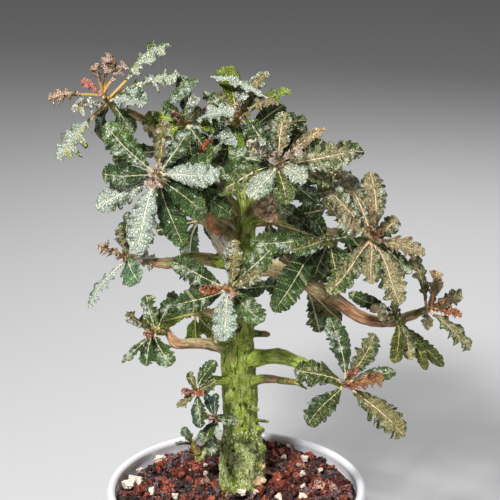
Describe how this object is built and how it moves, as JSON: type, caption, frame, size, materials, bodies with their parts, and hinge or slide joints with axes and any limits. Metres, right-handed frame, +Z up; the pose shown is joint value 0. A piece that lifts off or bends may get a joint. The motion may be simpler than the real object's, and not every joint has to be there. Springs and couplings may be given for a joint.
{
  "type": "bonsai tree in a pot",
  "caption": "Small succulent-trunked bonsai with knotted trunk, cut stubs and rosettes of crisped toothed leaves, standing in lava gravel in a round glazed pot.",
  "frame": {"origin": "middle of the pot's flat underside, on the surface that it stands on", "axes": "+Z up, along the trunk; -Y towards the front, which the rosettes face; +X to the right seen from the front"},
  "size_m": [0.2515, 0.1779, 0.3584],
  "materials": {
    "white_glaze": "glossy white glaze",
    "lava_gravel": "rough porous lava grains with pale pumice",
    "bark": "green fissured bark with pale flakes, tan on the branches",
    "leaf_green": "puckered leaf, dark green with silver scurf",
    "leaf_khaki": "puckered leaf, olive green dusted tan",
    "leaf_coral": "young crisped leaf, coral and pink"
  },
  "bodies": {
    "root": {"pot": "white_glaze", "gravel": "lava_gravel", "trunk_and_branches": "bark", "far_left_leaves": "leaf_green", "far_left_young": "leaf_coral", "left_leaves": "leaf_green", "left_young": "leaf_coral", "top_left_leaves": "leaf_green", "top_leaves": "leaf_green", "top_young": "leaf_coral", "upper_right_leaves": "leaf_khaki", "upper_right_young": "leaf_coral", "right_middle_leaves": "leaf_green", "right_leaves": "leaf_khaki", "right_young": "leaf_coral", "far_right_leaves": "leaf_khaki", "far_right_young": "leaf_coral", "hanging_right_leaves": "leaf_khaki", "low_right_leaves": "leaf_green", "low_right_young": "leaf_coral", "low_middle_leaves": "leaf_green", "low_middle_young": "leaf_coral", "left_low_leaves": "leaf_green", "left_low_young": "leaf_coral", "left_branch_leaves": "leaf_green", "left_branch_young": "leaf_coral", "left_twig_leaves": "leaf_green", "left_twig_young": "leaf_coral", "low_sprig_leaves": "leaf_green", "low_sprig_young": "leaf_coral", "rim_sprig_leaves": "leaf_green", "bud_twig_leaves": "leaf_green", "back_upper_left_leaves": "leaf_green", "back_top_leaves": "leaf_green", "back_upper_right_leaves": "leaf_green", "back_left_leaves": "leaf_green", "back_middle_leaves": "leaf_green", "back_right_leaves": "leaf_green", "back_low_left_leaves": "leaf_green", "back_low_right_leaves": "leaf_green"}
  },
  "joints": []
}
